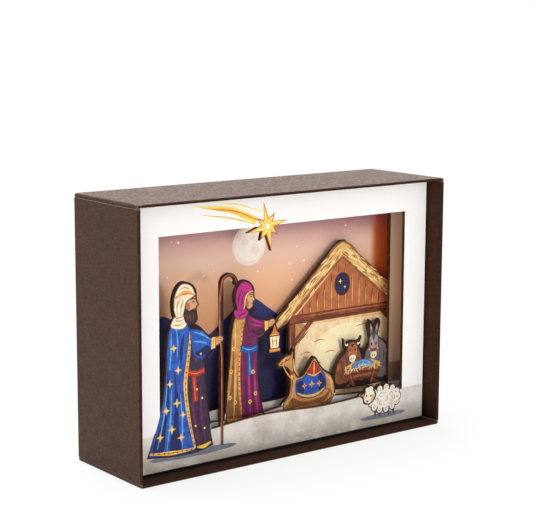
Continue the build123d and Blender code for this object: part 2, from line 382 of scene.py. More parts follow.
def skyPaper():
    material, shader = startMaterial("skyPaper", 0.7, 0.22)
    axes = split(bench["place"])
    drift = maths("SUBTRACT", noise(22, 5, 0.6), 0.5)
    height = maths("MULTIPLY_ADD", drift, skyWash["drift"], axes["Z"])
    bands = sorted(skyWash["bands"])
    colour = srgb(*bands[0][1])
    for (low, _), (high, highColour) in zip(bands, bands[1:]):
        colour = mix(ramp(height, low * mm, high * mm), colour, srgb(*highColour))
    clouds = mottle(0.52, 0.76, 18, 7, 0.6, (1, 1, 2.6))
    colour = tint(clouds, 0.2, colour, skyWash["cloud"])
    # painted shadow in the upper right corner, and a strip of painted shade behind the window's right edge
    highUp = ramp(height, *skyWash["upperShadeRise"])
    corner = maths("MULTIPLY", highUp, ramp(axes["X"], skyWash["cornerShadowFrom"], windowX))
    colour = tint(corner, 0.7, colour, skyWash["cornerShadowTone"])
    beside = ramp(axes["X"], windowX - skyWash["shadeStripWidth"], windowX)
    colour = mix(beside, colour, mix(highUp, skyWash["shadeDeep"], skyWash["shadeDeepTop"]))
    grain = mottle(0.35, 0.7, 1300, 2)
    colour = tint(grain, 0.04, colour, srgb(255, 246, 236))
    finishMaterial(shader, colour, grain, skyWash["grain"])
    return material


wrapNodes = [name for name in nodes if name.endswith("_wrap")]
boardNodes = [name for name in nodes if name.endswith("_board")]
spacerNodes = [name for name in nodes if name.startswith("spacer")]
setMaterial(linenPaper(), *wrapNodes)
setMaterial(plainCard("greyboard", srgb(122, 108, 96), srgb(92, 80, 70)), *boardNodes)
setMaterial(plainCard("spacerCard", srgb(196, 170, 138), srgb(160, 132, 101), cut=True), *spacerNodes)
setMaterial(plainCard("foamPad", srgb(236, 234, 228), srgb(214, 211, 204), 0.9, 2600), "manger_pads")

# each panel's card, the top of its ground and the height above which it is cut out
panelPrints = dict(
    front_mat=dict(name="matPrint", card=panelCard["white"], ground=21.6 * mm, cutAbove=22.3 * mm),
    # the middle panel's card is warmed with painted orange bounce light, and its frame and ground carry
    # painted light and shade
    middle_panel=dict(name="middlePrint", card=srgb(224, 187, 158), ground=34 * mm, cutAbove=22.3 * mm,
                      shadedEarth=srgb(146, 112, 94)),
    stable_panel=dict(name="stablePrint", card=panelCard["white"], ground=60 * mm, cutAbove=25.2 * mm,
                      everywhere=True),
    manger_group=dict(name="mangerPrint", card=panelCard["white"], ground=10 * mm, cutAbove=12 * mm,
                      everywhere=True),
)
for panel, finish in panelPrints.items():
    setMaterial(printedPanel(**finish), panel)
setMaterial(skyPaper(), "backdrop")
print("tray, panels and card finished")

# printed artwork: flat shapes and brush strokes on the panels' faces,
# in millimetres from a figure's own origin

paints = dict(
    ink=((40, 22, 24), (62, 36, 32)),
    blue=((44, 106, 198), (24, 62, 152)),
    blueLight=((112, 182, 230), (66, 138, 208)),
    blueDark=((28, 36, 108), (18, 20, 70)),
    robeDark=((54, 40, 72), (34, 24, 46)),
    gold=((249, 212, 88), (236, 178, 62)),
    goldLight=((254, 238, 142), (250, 222, 108)),
    orange=((228, 140, 60), (198, 100, 40)),
    plum=((126, 26, 86), (88, 18, 66)),
    magenta=((204, 38, 136), (164, 28, 110)),
    plumDark=((72, 16, 52), (52, 12, 40)),
    skin=((230, 176, 132), (200, 138, 96)),
    skinShade=((184, 118, 80), (156, 92, 62)),
    hair=((56, 36, 32), (36, 22, 24)),
    cream=((252, 243, 222), (234, 210, 172)),
    creamShade=((216, 186, 142), (190, 150, 104)),
    wood=((156, 76, 42), (106, 46, 26)),
    woodLight=((202, 120, 70), (166, 88, 48)),
    woodDark=((88, 38, 24), (62, 26, 18)),
    straw=((240, 200, 124), (210, 154, 86)),
    strawLight=((253, 231, 176), (242, 206, 138)),
    strawDark=((166, 108, 60), (122, 74, 42)),
    ochre=((218, 166, 92), (188, 126, 62)),
    ochreDark=((154, 98, 52), (122, 72, 38)),
    ochreLight=((240, 204, 140), (222, 176, 104)),
    red=((194, 50, 40), (150, 30, 34)),
    oxBrown=((150, 84, 50), (108, 56, 34)),
    donkeyGrey=((176, 164, 158), (146, 133, 130)),
    donkeyShade=((124, 113, 112), (96, 87, 88)),
    greyDark=((86, 78, 82), (64, 56, 60)),
    wool=((248, 243, 232), (226, 214, 198)),
    woolShade=((186, 170, 154), (158, 140, 124)),
    glow=((255, 245, 214), (252, 226, 168)),
    plaster=((253, 234, 200), (238, 196, 140)),
    plasterWarm=((246, 208, 148), (226, 168, 104)),
    plasterShade=((208, 152, 98), (180, 120, 74)),
    shadowBlue=((92, 96, 114), (122, 122, 130)),
    moon=((248, 228, 212), (243, 218, 202)),
    moonPale=((252, 240, 228), (249, 232, 217)),
    hillNear=((38, 36, 84), (28, 25, 62)),
    hillFar=((46, 50, 112), (38, 41, 96)),
    white=((253, 252, 250), (244, 240, 236)),
    scorch=((112, 76, 48), (84, 54, 34)),
)
# these colours have a thin contour in a darker tone, but for shapes smaller than the least
lined = ("blue", "robeDark", "plum", "ochre", "magenta", "cream", "red", "skin", "hair", "wood", "oxBrown",
         "donkeyGrey", "donkeyShade", "blueLight")
contour = dict(tone=0.55, width=0.45, least=4.5)
for lineName in lined:
    darker = [[contour["tone"] * value for value in colour] for colour in paints[lineName]]
    paints[lineName + "Line"] = darker
inkStep = 0.0016 * mm  # each colour lies this much higher than the one before it
inkLift = 0.0004 * mm  # and each shape of a colour this much


def printedPaint():
    material, shader = startMaterial("printedPaint", 0.6, 0.25)
    base = addNode("Attribute", attribute_name="paint").outputs["Color"]
    shade = addNode("Attribute", attribute_name="shade").outputs["Color"]
    wash = mottle(0.36, 0.66, 240, 6, 0.62)
    brush = mottle(0.44, 0.64, 1, 4, 0.6, (1100, 1, 170))
    grain = mottle(0.35, 0.75, 1700, 2)
    colour = mix(wash, base, shade)
    colour = tint(brush, 0.55, colour, shade)
    colour = tint(grain, 0.02, colour, srgb(255, 248, 236))
    finishMaterial(shader, colour, grain, 0.01 * mm)
    return material


paintMaterial = printedPaint()


def startSheet(name, y, slot):
    mesh = bmesh.new()
    layers = [mesh.verts.layers.float_color.new(word) for word in ("paint", "shade")]
    return dict(name=name, y=y, slot=slot, mesh=mesh, layers=layers, height=0.0)


# smooth run through the points; a point with a third value is a corner
def flowLine(points, closed, spacing=1.1, most=8):
    spots = [Vector(point[:2]) for point in points]
    corners = [len(point) > 2 for point in points]
    count = len(spots)

    def pace(index, chord):
        here = index % count
        if corners[here] or (not closed and here in (0, count - 1)):
            return chord.normalized()
        before = spots[here] - spots[here - 1]
        after = spots[(here + 1) % count] - spots[here]
        first, last = before.length, after.length
        return (before / first * last + after / last * first) / (first + last)

    run = []
    for leg in range(count if closed else count - 1):
        start, end = spots[leg], spots[(leg + 1) % count]
        chord = end - start
        out = pace(leg, chord) * chord.length
        into = pace(leg + 1, chord) * chord.length
        straight = corners[leg] and corners[(leg + 1) % count]
        steps = 1 if straight else max(1, min(most, round(chord.length / spacing)))
        for k in range(steps):
            t = k / steps
            u = 1 - t
            run.append(start * (u * u * (1 + 2 * t)) + end * (t * t * (3 - 2 * t)) + out * (t * u * u)
                       - into * (t * t * u))
    if not closed:
        run.append(spots[-1])
    return run


def addRow(sheet, paint, at, run):
    row = []
    for spot in run:
        place = ((at[0] + spot[0]) * mm, sheet["y"] - sheet["height"], (at[1] + spot[1]) * mm)
        vert = sheet["mesh"].verts.new(place)
        for layer, colour in zip(sheet["layers"], paints[paint]):
            vert[layer] = srgb(*colour)
        row.append(vert)
    return row


# a shape reaches as far into the card as it stands out of it, so no two share a root
def thicken(sheet, faces):
    made = bmesh.ops.extrude_face_region(sheet["mesh"], geom=faces)
    roots = [part for part in made["geom"] if isinstance(part, bmesh.types.BMVert)]
    bmesh.ops.translate(sheet["mesh"], verts=roots, vec=(0, 2 * sheet["height"], 0))


# closed flat shapes, the larger ones with a contour
def fill(sheet, paint, at, *outlines):
    sheet["height"] += inkStep
    for outline in outlines:
        sheet["height"] += inkLift
        run = flowLine(outline, True)
        thicken(sheet, [sheet["mesh"].faces.new(addRow(sheet, paint, at, run))])
        reach = max(max(values) - min(values) for values in zip(*run))
        if paint in lined and reach > contour["least"]:
            stroke(sheet, paint + "Line", at, contour["width"], [*outline, outline[0]], taper=(1, 1, 1))


# brush strokes, thinner at their ends
def stroke(sheet, paint, at, width, *lines, taper=(0.4, 1, 0.4)):
    sheet["height"] += inkStep
    for line in lines:
        sheet["height"] += inkLift
        run = flowLine(line, False, 0.9)
        last = len(run) - 1
        left, right = [], []
        for k, spot in enumerate(run):
            ahead = (run[min(k + 1, last)] - run[max(k - 1, 0)]).normalized()
            along = 2 * k / last
            share = taper[0] + (taper[1] - taper[0]) * along
            if along > 1:
                share = taper[1] + (taper[2] - taper[1]) * (along - 1)
            side = Vector((-ahead.y, ahead.x)) * width * share / 2
            left.append(spot + side)
            right.append(spot - side)
        left = addRow(sheet, paint, at, left)
        right = addRow(sheet, paint, at, right)
        corners = zip(left, left[1:], right[1:], right)
        thicken(sheet, [sheet["mesh"].faces.new(four) for four in corners])


# a step is a paint with outlines, or a paint with a width and lines
def draw(sheet, at, steps):
    for paint, *shapes in steps:
        if isinstance(shapes[0], (int, float)):
            stroke(sheet, paint, at, *shapes)
        else:
            fill(sheet, paint, at, *shapes)


def ring(x, z, across, up=None, count=12):
    up = across if up is None else up
    angles = [2 * math.pi * k / count for k in range(count)]
    return [(x + across * math.cos(angle), z + up * math.sin(angle)) for angle in angles]


# small four-pointed ornament
def spark(x, z, size, waist=0.34):
    spots = []
    for k in range(8):
        reach = size if k % 2 == 0 else size * waist
        spots.append((x + reach * math.sin(k * math.pi / 4), z + reach * math.cos(k * math.pi / 4), 1))
    return spots


# beads sewn along a border
def beads(line, step, size):
    return [ring(*spot, size, count=8) for spot in flowLine(line, False, step, 99)]


def bar(x0, z0, x1, z1):
    return [(x0, z0, 1), (x1, z0, 1), (x1, z1, 1), (x0, z1, 1)]


# outlines or lines, each with its mirror image across an upright line
def paired(*shapes, about=0):
    mirrored = [[(2 * about - point[0], *point[1:]) for point in shape] for shape in shapes]
    return [side for pair in zip(shapes, mirrored) for side in pair]


def endSheet(sheet):
    mesh = bpy.data.meshes.new(sheet["name"])
    sheet["mesh"].normal_update()
    flat = [face for face in sheet["mesh"].faces if len(face.verts) > 4]
    bmesh.ops.triangulate(sheet["mesh"], faces=flat)
    bmesh.ops.recalc_face_normals(sheet["mesh"], faces=sheet["mesh"].faces)
    sheet["mesh"].to_mesh(mesh)
    sheet["mesh"].free()
    mesh.materials.append(paintMaterial)
    piece = bpy.data.objects.new(sheet["name"], mesh)
    bpy.context.scene.collection.objects.link(piece)
    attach(piece, "root")
    print(sheet["name"], "drawn:", len(mesh.polygons), "faces")


# front panel: shepherd, star and sheep

shepherd = dict(
    at=(fromLeft(16.5), 10),
    border=[(1, 50), (-1, 36), (1, 18)],  # the cloak's front edge
    hem=[(-14, 1.6), (-6, 1.1)],
    sparks=[(-8, 55, 2.4), (-5.4, 43.4, 2.4), (-10.4, 37, 2.2), (-6.2, 26.6, 2.6), (-12.6, 23.6, 2.4),
            (-2.6, 20, 2), (-9.4, 13.4, 2.6), (-16.4, 10.4, 2.4), (-3.8, 8.4, 2.4)],
    dots=[(8.4, 50), (6, 32), (9.2, 27), (5, 13), (10.6, 11)],
)
shepherdArt = [
    ("shadowBlue", ring(4, -0.9, 27, 1.9, 16)),
    ("ink", [(-24.6, 0.7, 1), (-22.6, 5.5), (-19.8, 13, 1), (14.2, 13, 1), (15, 6), (16.1, 1.2, 1),
        (8, -0.8), (-6, -1.1)], bar(20.7, 0, 22.5, 13)),
    ("blue", [(-23.4, 1.6, 1), (-20, 10.5), (-15, 26), (-12.6, 42), (-11.6, 56), (-10.2, 64.5),
        (-6.6, 68.8, 1), (-1, 67.8), (2, 62), *shepherd["border"], (5, 0.2, 1), (-6, -0.2)]),
    ("blueDark", [(-20.4, 3), (-16.2, 16), (-12.6, 32), (-11.6, 45), (-11, 30), (-13, 14), (-15.6, 2.2)],
     [(-9.6, 2), (-8.2, 16), (-7.4, 30), (-8, 45), (-5.6, 30), (-5.2, 14), (-5, 1.2)],
     [(-3.6, 46), (-2.2, 54), (-1.6, 62), (-4.2, 55)]),
    ("blueLight", 1.1, [(-18.2, 4.5), (-14.2, 20), (-12, 36)], [(-12.4, 3.4), (-10.2, 18), (-9.4, 34)],
     [(-3, 3), (-3, 16), (-4, 31)], [(-9.4, 63), (-9.6, 54), (-10.4, 44)],
     [(-6.4, 65.6), (-5.6, 58), (-6, 50)]),
    ("robeDark", [(5.2, 0.4, 1), *shepherd["border"][::-1], (2, 60), (8, 57), (10.6, 46), (11, 36),
        (12.6, 20), (15.2, 1.7, 1), (10, 0.1)]),
    ("plum", 1.3, [(7.4, 2), (4.2, 18), (3.2, 34)], [(11.4, 2.2), (8.8, 18), (8, 34)],
     [(5, 52), (5.4, 46)]),
    ("plumDark", 0.8, [(9.4, 2), (6.4, 18), (5.6, 36)], [(13.4, 3), (10.8, 20), (9.8, 36)]),
    ("red", [(0.2, 43.6, 1), (5, 41.8), (10.6, 43, 1), (10.8, 39.8, 1), (5, 38.4), (-0.4, 40.2, 1)],
     [(2.8, 39.4, 1), (5.6, 38.8, 1), (6.8, 26, 1), (3.6, 25.4, 1)]),
    ("orange", 0.6, [(0.2, 41.8), (5, 40.2), (10.6, 41.4)], [(4.2, 38), (5, 26.4)]),
    ("gold", 2.3, [(2.4, 63), *shepherd["border"], (4.8, 1.4)]),
    ("orange", 0.6, [(2.4, 62), *shepherd["border"], (4.4, 3)]),
    ("gold", 2.2, [(-22.6, 2.7), *shepherd["hem"], (4.2, 1.4)], [(6, 1.7), (10, 1.4), (14.6, 3)]),
    ("orange", 0.5, [(-21.6, 2.6), *shepherd["hem"], (4, 1.4)]),
    ("red", *beads([(2.3, 61), *shepherd["border"], (4.2, 4)], 2.8, 0.5),
     *beads([(-20.6, 2.5), *shepherd["hem"], (2.6, 1.3)], 2.8, 0.5)),
    ("wood", 1.5, [(21.6, 0.4), (21.6, 42), (21.6, 84), (22.2, 86.3), (23.9, 88), (26.2, 88.6), (28.5, 88),
        (30.2, 86.3), (30.8, 84.2)]),
    ("woodLight", 0.5, [(21.3, 3), (21.3, 42), (21.3, 84), (22, 86.5), (23.8, 88.2)]),
    ("blue", [(2, 63.5, 1), (9, 61.8), (15, 57.4), (17.5, 57.4, 1), (17.2, 52, 1), (14.5, 51.2), (9, 47.2),
        (5, 49), (3, 55)]),
    ("blueDark", [(4.8, 51), (9, 48.4), (14.8, 52.2), (12.5, 54), (8.2, 52.2)]),
    ("blueLight", 1.0, [(4.6, 61.6), (9.6, 59.8), (14.4, 56.6)], [(4.4, 57), (8.4, 56.2), (12, 55)]),
    ("gold", [(15.2, 57.5, 1), (17.7, 57.6, 1), (17.4, 52, 1), (15, 51.4, 1)]),
    ("orange", 0.5, [(16.4, 57), (16.2, 52)]),
    ("skin", [(17.7, 57.2, 1), (20.4, 57.8), (22.3, 56.3), (20.9, 54.2), (17.5, 53, 1)]),
    ("skinShade", 0.5, [(19.4, 56.6), (22, 56)], [(19.2, 55.2), (21.6, 55)]),
    ("cream", [(-7.8, 70.6, 1), (-1.6, 71, 1), (0.4, 67.4), (-1.6, 64.6), (-6, 64.4), (-9.6, 66)]),
    ("creamShade", 0.9, [(-8.6, 66.6), (-4.6, 66.4), (-0.8, 67.8)], [(-7, 69), (-4, 68.4), (-1.4, 69.4)]),
    ("cream", [(-7.7, 74.5), (-7, 81.6), (-2.8, 86.9), (2.6, 85.5), (5.2, 80.8, 1), (3, 79.6), (0, 78),
        (-1.5, 74), (-2.5, 70.5, 1), (-6.4, 70, 1)]),
    ("creamShade", 1.0, [(-5.8, 71.6), (-5.6, 77), (-3.6, 80)], [(-3.8, 71.4), (-3.4, 75.4), (-1.8, 79)],
     [(-4.6, 84), (-1.4, 85.2), (2, 83.8)]),
    ("orange", 2.1, [(-7, 80.4), (-2.5, 82.2), (1.5, 82.2), (4.9, 81)]),
    ("gold", 0.8, [(-6.8, 80.6), (-2.5, 82.4), (1.5, 82.4), (4.8, 81.2)]),
    ("skin", [(5.1, 80, 1), (5.6, 77.6), (6.9, 75.6, 1), (5.5, 74.6), (5.2, 73, 1), (1, 71), (-0.6, 74),
        (0.6, 78)]),
    ("skinShade", [(0.7, 77.4), (1.9, 75.6), (1.4, 73), (-0.3, 74)]),
    ("hair", [(5.7, 73.7, 1), (6, 70.2), (4.4, 66.6), (0.5, 66.4), (-1.8, 70.5), (-0.9, 74.4, 1),
        (1.3, 72.8), (3.8, 73.6)]),
    ("wood", 0.55, [(4.2, 68), (4.2, 71)], [(2.2, 67.6), (1.8, 70.8)], [(0.4, 68.6), (0.1, 71.4)]),
    ("ink", 0.75, [(3.1, 77.2), (4.0, 77.5), (4.8, 77.1)]),
    ("hair", 0.8, [(2.2, 78.6), (3.8, 79.1), (5.1, 78.5)]),
    ("red", 0.6, [(4, 73.5), (5.4, 73.7)]),
    ("gold", *[spark(*place) for place in shepherd["sparks"]]),
    ("goldLight", *[ring(*place[:2], 0.55, count=8) for place in shepherd["sparks"] + shepherd["dots"]]),
]

star = dict(
    centre=(fromLeft(67), windowTop / mm - 0.3),
    reach=13.4,
    short=8.6,
    waist=4.3,
    tilt=11,
    tipInset=(0.2, 2.2),  # of the orange rim, then of the facets
    waistInset=(0.1, 0.75),
)
starStreaks = [
    ("goldLight", [(-6, 5.1, 1), (-20.5, 11.1), (-48.5, 13.9, 1), (-22.5, 8.5), (-8.1, 1.1, 1)]),
    ("gold", [(-6.4, 4.7, 1), (-19.5, 9.9), (-42.5, 12.7, 1), (-22.5, 8.3), (-7.2, 2.9, 1)]),
    ("orange", 0.6, [(-6.5, 3.9), (-19.5, 9.1), (-34.5, 11.5)]),
    ("gold", 0.8, [(-8, 1.7), (-22.5, 5.9), (-40.5, 8.9)]),
    ("goldLight", 0.9, [(-4.2, 7.9), (-16.5, 12.1), (-32.5, 14.5)]),
]


def drawStar(sheet):
    draw(sheet, star["centre"], starStreaks)

    def spot(reach, angle):
        return (reach * math.cos(angle), reach * math.sin(angle), 1)

    rimTip, facetTip = star["tipInset"]
    rimWaist, facetWaist = star["waistInset"]
    rim, lit, shaded = [], [], []
    for k in range(8):
        reach = star["reach"] if k % 2 == 0 else star["short"]
        tip = math.radians(star["tilt"]) + k * math.pi / 4
        sides = [tip - math.pi / 8, tip + math.pi / 8]
        rim += [spot(reach - rimTip, tip), spot(star["waist"] - rimWaist, sides[1])]
        inner = [spot(star["waist"] - facetWaist, side) for side in sides]
        peak = spot(reach - facetTip, tip)
        lit.append([(0, 0, 1), peak, inner[1]])
        shaded.append([(0, 0, 1), inner[0], peak])
    draw(sheet, star["centre"], [
        ("orange", rim),
        ("goldLight", *lit),
        ("gold", *shaded),
        ("white", ring(0, 0, 1.3)),
    ])


sheep = dict(
    at=(fromRight(15), 8.5),
    middle=(2, 9),
    rim=(10, 6.2),  # half the length and height of the ring of curls
    body=(8.8, 5.2),
    curls=13,
    curlInk=2.45,
    curlWool=1.9,
    rimCurl=(0.55, 1.25),  # width and size of the lines in the curls
    bodyCurl=(0.6, 1.7),
    inner=[(-4, 9), (-0.5, 11), (-0.5, 6.6), (3.2, 9), (6.6, 11), (6.6, 6.8), (9, 9)],
)
sheepLegs = [
    ("shadowBlue", ring(1, -0.6, 17, 1.5, 16)),
    ("greyDark", 1.7, [(-4.5, 5), (-4.8, -0.6)], [(-1.4, 3.6), (-1.6, -1)], [(5, 3.6), (5.2, -1)],
     [(8.4, 5), (8.8, -0.6)]),
]
sheepHead = [
    ("ink", [(-10, 17.3), (-6.2, 16.6, 1), (-4.2, 12), (-6.1, 8.7), (-9.5, 7, 1), (-13.4, 8.2),
        (-14.2, 11, 1), (-16.4, 13.2), (-13, 14.4, 1)]),
    ("cream", [(-9.9, 16.2), (-7, 15.6, 1), (-5.2, 12), (-6.8, 9.4), (-9.6, 7.9), (-12.6, 9), (-13.3, 11.4),
        (-12.4, 13.8)]),
    ("skin", [(-15.4, 13.1), (-13.2, 13.7, 1), (-13.6, 12.1, 1)]),
    ("creamShade", [(-5.8, 13), (-6.2, 10.4), (-8.4, 8.8), (-7.4, 11.4)]),
    ("ink", ring(-11.4, 12.4, 0.6, 0.7, 8), ring(-8.2, 12, 0.6, 0.7, 8)),
    ("skinShade", ring(-10.7, 9.2, 1.1, 0.7, 8)),
    ("wool", ring(-8.4, 16, 1.8, 1.4), ring(-10.8, 15.6, 1.3)),
    ("woolShade", 0.5, [(-9.4, 15.8), (-8.4, 16.6), (-7.4, 15.8)]),
]


# spirals that start at any angle
def woolCurls(places, width, size):
    curls = []
    for x, z in places:
        turn = chance.uniform(0, 6)
        steps = [(size * (1 - k / 8), turn + k * 0.9) for k in range(7)]
        curls.append([(x + reach * math.cos(angle), z + reach * math.sin(angle)) for reach, angle in steps])
    return ("woolShade", width, *curls)


def drawSheep(sheet):
    curls = ring(*sheep["middle"], *sheep["rim"], sheep["curls"])
    draw(sheet, sheep["at"], sheepLegs)
    draw(sheet, sheep["at"], [
        ("ink", *[ring(x, z, sheep["curlInk"]) for x, z in curls]),
        ("wool", *[ring(x, z, sheep["curlWool"]) for x, z in curls]),
        ("wool", ring(*sheep["middle"], *sheep["body"], 18)),
        woolCurls(curls, *sheep["rimCurl"]),
        woolCurls(sheep["inner"], *sheep["bodyCurl"]),
    ])
    draw(sheet, sheep["at"], sheepHead)


lipLine = dict(width=0.5, inset=0.22)


# browned line along a panel's wavy lower edge, whose points are evenly spaced
def drawLip(sheet, rises):
    across = windowX / mm
    level = windowLip / mm - lipLine["inset"]
    points = [(across * (2 * k / (len(rises) - 1) - 1), level + z) for k, z in enumerate(rises)]
    stroke(sheet, "scorch", (0, 0), lipLine["width"], points, taper=(1, 1, 1))


frontSheet = startSheet("printFront", frontY, "mat_print")
drawLip(frontSheet, [-0.5, -0.8, 0.6, 1.9, 1.5, 0.4, 0.8, 1.8, 1.2])
draw(frontSheet, shepherd["at"], shepherdArt)
drawStar(frontSheet)
drawSheep(frontSheet)
endSheet(frontSheet)

# middle panel: lantern bearer and camel

bearer = dict(
    at=(fromLeft(61.5), 16.5),
    back=[(-11.5, 18), (-9.5, 36), (-8.5, 48), (-6.8, 55.5), (-4.5, 59, 1)],
    border=[(-2.4, 46), (-4, 30), (-3.4, 14)],  # the cloak's front edge
    rings=[(-9.2, 28), (-7.6, 40), (-10, 14), (-6.6, 11), (5, 26), (6.6, 14), (3, 10)],
)
bearerArt = [
    ("ink", [(-13.2, 0.4, 1), (-12.6, 8, 1), (11.2, 8, 1), (12.8, 0.4, 1), (0, -0.6)]),
    ("plum", [(-12.4, 0.9, 1), *bearer["back"], (2.5, 57), (7, 53.8), (8, 43), (7.7, 30), (9, 14),
        (11.9, 0.9, 1), (0, 0)]),
    ("magenta", 1.6, [(3.4, 2), (2.6, 16), (2.2, 32)], [(8.6, 2.4), (6.6, 16), (5.8, 32)],
     [(5.4, 50), (6.4, 44)]),
    ("plumDark", 1.0, [(6, 2), (4.6, 16), (4, 34)], [(1, 2), (0.6, 16), (0.4, 34)]),
    ("ochre", [(-12.3, 1, 1), *bearer["back"], (-0.8, 57.4), *bearer["border"], (-2, 0.3, 1), (-7, 0.3)]),
    ("ochreDark", [(-10.8, 3), (-9.4, 20), (-8.2, 36), (-7.6, 46), (-7.2, 34), (-7.6, 18), (-8.4, 2.6)],
     [(-5.6, 2), (-5.6, 16), (-5.4, 28), (-4.6, 15), (-4, 2)]),
    ("ochreLight", 0.9, [(-7.6, 3), (-6.8, 18), (-6.4, 32)], [(-6.6, 54), (-6.6, 46), (-6.2, 40)]),
    ("orange", 1.7, [(-0.8, 57), *bearer["border"], (-2.2, 1.2)]),
    ("gold", 0.7, [(-0.8, 56.4), *bearer["border"], (-2.2, 2)]),
    ("red", *beads([(-0.9, 55.4), *bearer["border"], (-2.3, 3)], 2.6, 0.42)),
    ("blue", [(-2.6, 41.6, 1), (3, 39.6), (8, 40.8, 1), (8, 37.2, 1), (3, 36), (-3.2, 38, 1)],
     [(1, 37.6, 1), (3.6, 36.8, 1), (4.6, 24.6, 1), (1.8, 24, 1)]),
    ("blueLight", 0.6, [(-2.4, 40), (3, 38.2), (7.8, 39.2)], [(2.4, 36), (3.2, 25)]),
    ("gold", 1.8, [(-11.6, 2), (-5, 1.4), (-2.4, 1.5)], [(-1.4, 1.4), (5, 1.3), (11.2, 2.2)]),
    ("plum", [(1, 57.2, 1), (8, 53.9), (14, 51.9), (14.6, 47.4, 1), (9, 44), (4, 46), (1.5, 51)]),
    ("plumDark", [(3.4, 48.4), (8.6, 45), (13.4, 47.8), (10.6, 49.2), (7, 48.2)]),
    ("magenta", 1.0, [(3.2, 55.2), (8, 52.6), (12.6, 51)], [(3.4, 51.6), (7.6, 50.6), (11, 50)]),
    ("gold", [(12.6, 52.4, 1), (15.1, 52.1, 1), (15, 48, 1), (12.8, 46.9, 1)]),
    ("skin", [(15, 52, 1), (18.4, 52.9), (19.7, 51.4), (18.2, 49.6), (15, 48.5, 1)]),
    ("skinShade", 0.5, [(16.6, 51.6), (19.2, 51.2)], [(16.6, 50.4), (18.6, 50.2)]),
    ("orange", [(19.4, 49.6, 1), (20.6, 46.4, 1), (22.8, 43.8, 1), (16, 43.8, 1), (18.2, 46.4, 1)],
     bar(15.9, 34.8, 22.9, 36.5)),
    ("glow", [(16.9, 36.9, 1), (16.2, 43.2, 1), (22.6, 43.2, 1), (21.9, 36.9, 1)]),
    ("gold", [(19.4, 42), (18.2, 39.6), (19.4, 37.8), (20.6, 39.6)]),
    ("white", ring(19.4, 39.4, 0.6, 1, 8)),
    ("woodDark", 0.5, [(18, 43), (18.2, 37)], [(20.8, 43), (20.6, 37)]),
    ("gold", 0.5, [(16.4, 43.9), (19.4, 44.2), (22.4, 43.9)], [(16.4, 35.7), (22.4, 35.7)]),
    ("magenta", [(-7.4, 60.4, 1), (-0.4, 61, 1), (1.8, 58.2), (-1, 55.6), (-5.6, 56), (-7, 57.6)]),
    ("plumDark", 0.8, [(-6, 57.8), (-2.6, 57.6), (0.8, 58.8)]),
    ("magenta", [(-6.3, 65), (-5.7, 70.8), (-1.3, 75), (3.2, 73.2), (5, 69.6, 1), (2.2, 69), (0, 66.6),
        (-0.6, 62), (-1.6, 60, 1), (-4.9, 60.4, 1)]),
    ("plumDark", 0.9, [(-4.6, 62), (-4.4, 67), (-2.4, 71)], [(-2.4, 61.4), (-2, 66), (-0.4, 69.6)]),
    ("gold", 1.1, [(-1.2, 60.4), (-0.4, 62.4), (0.2, 66.4), (2.4, 68.9), (4.9, 69.5)]),
    ("skin", [(4.8, 68.9, 1), (4.9, 66.9), (6.1, 64.7, 1), (4.8, 63.6), (4.7, 61.4, 1), (2, 60.2),
        (0.4, 62.5), (0.8, 66.2), (2.6, 68.4)]),
    ("skinShade", [(1, 66), (2, 64), (1.8, 61.4), (0.6, 62.8)]),
    ("ink", 0.7, [(3, 66.4), (3.7, 66.7), (4.4, 66.3)]),
    ("hair", 0.6, [(2.4, 67.5), (3.6, 67.9), (4.6, 67.5)]),
    ("red", 0.6, [(3.6, 62.7), (4.7, 62.9)]),
    ("gold", *[ring(x, z, 1.15) for x, z in bearer["rings"]]),
    ("red", *[ring(x, z, 0.5, count=8) for x, z in bearer["rings"]]),
]

